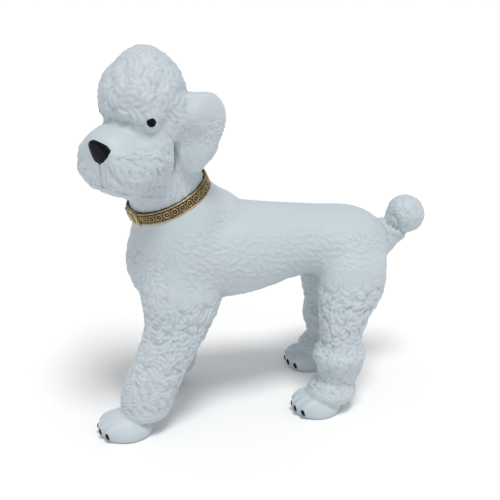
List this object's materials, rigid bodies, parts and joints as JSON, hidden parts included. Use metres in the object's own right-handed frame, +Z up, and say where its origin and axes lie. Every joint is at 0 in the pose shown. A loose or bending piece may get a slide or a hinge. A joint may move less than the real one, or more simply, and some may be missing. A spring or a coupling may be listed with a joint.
{
  "type": "dog figurine",
  "caption": "Standing white ceramic poodle figurine with a gilded collar, black enamel eyes and nose, and a pompom tail.",
  "frame": {"origin": "on the floor under the middle of the figure's bounding box", "axes": "+Z up, the dog stands facing -Y, +X is the dog's left side"},
  "size_m": [0.1363, 0.3367, 0.36],
  "materials": {
    "white_ceramic": "matt white bisque with a faint blue grey tint in the hollows",
    "antique_gilt": "antique gold paint, worn, with dark recesses",
    "black_enamel": "glossy black enamel"
  },
  "bodies": {
    "root": {"torso_casting": "white_ceramic", "head_casting": "white_ceramic", "topknot_casting": "white_ceramic", "left_ear_casting": "white_ceramic", "right_ear_casting": "white_ceramic", "front_left_leg_casting": "white_ceramic", "front_right_leg_casting": "white_ceramic", "rear_left_leg_casting": "white_ceramic", "rear_right_leg_casting": "white_ceramic", "tail_stem_casting": "white_ceramic", "tail_pompom_casting": "white_ceramic", "collar_band": "antique_gilt", "collar_ornaments": "antique_gilt", "collar_buckle": "antique_gilt", "left_eye": "black_enamel", "right_eye": "black_enamel", "nose_enamel": "black_enamel", "front_left_claws": "black_enamel", "front_right_claws": "black_enamel", "rear_left_claws": "black_enamel", "rear_right_claws": "black_enamel"}
  },
  "joints": []
}
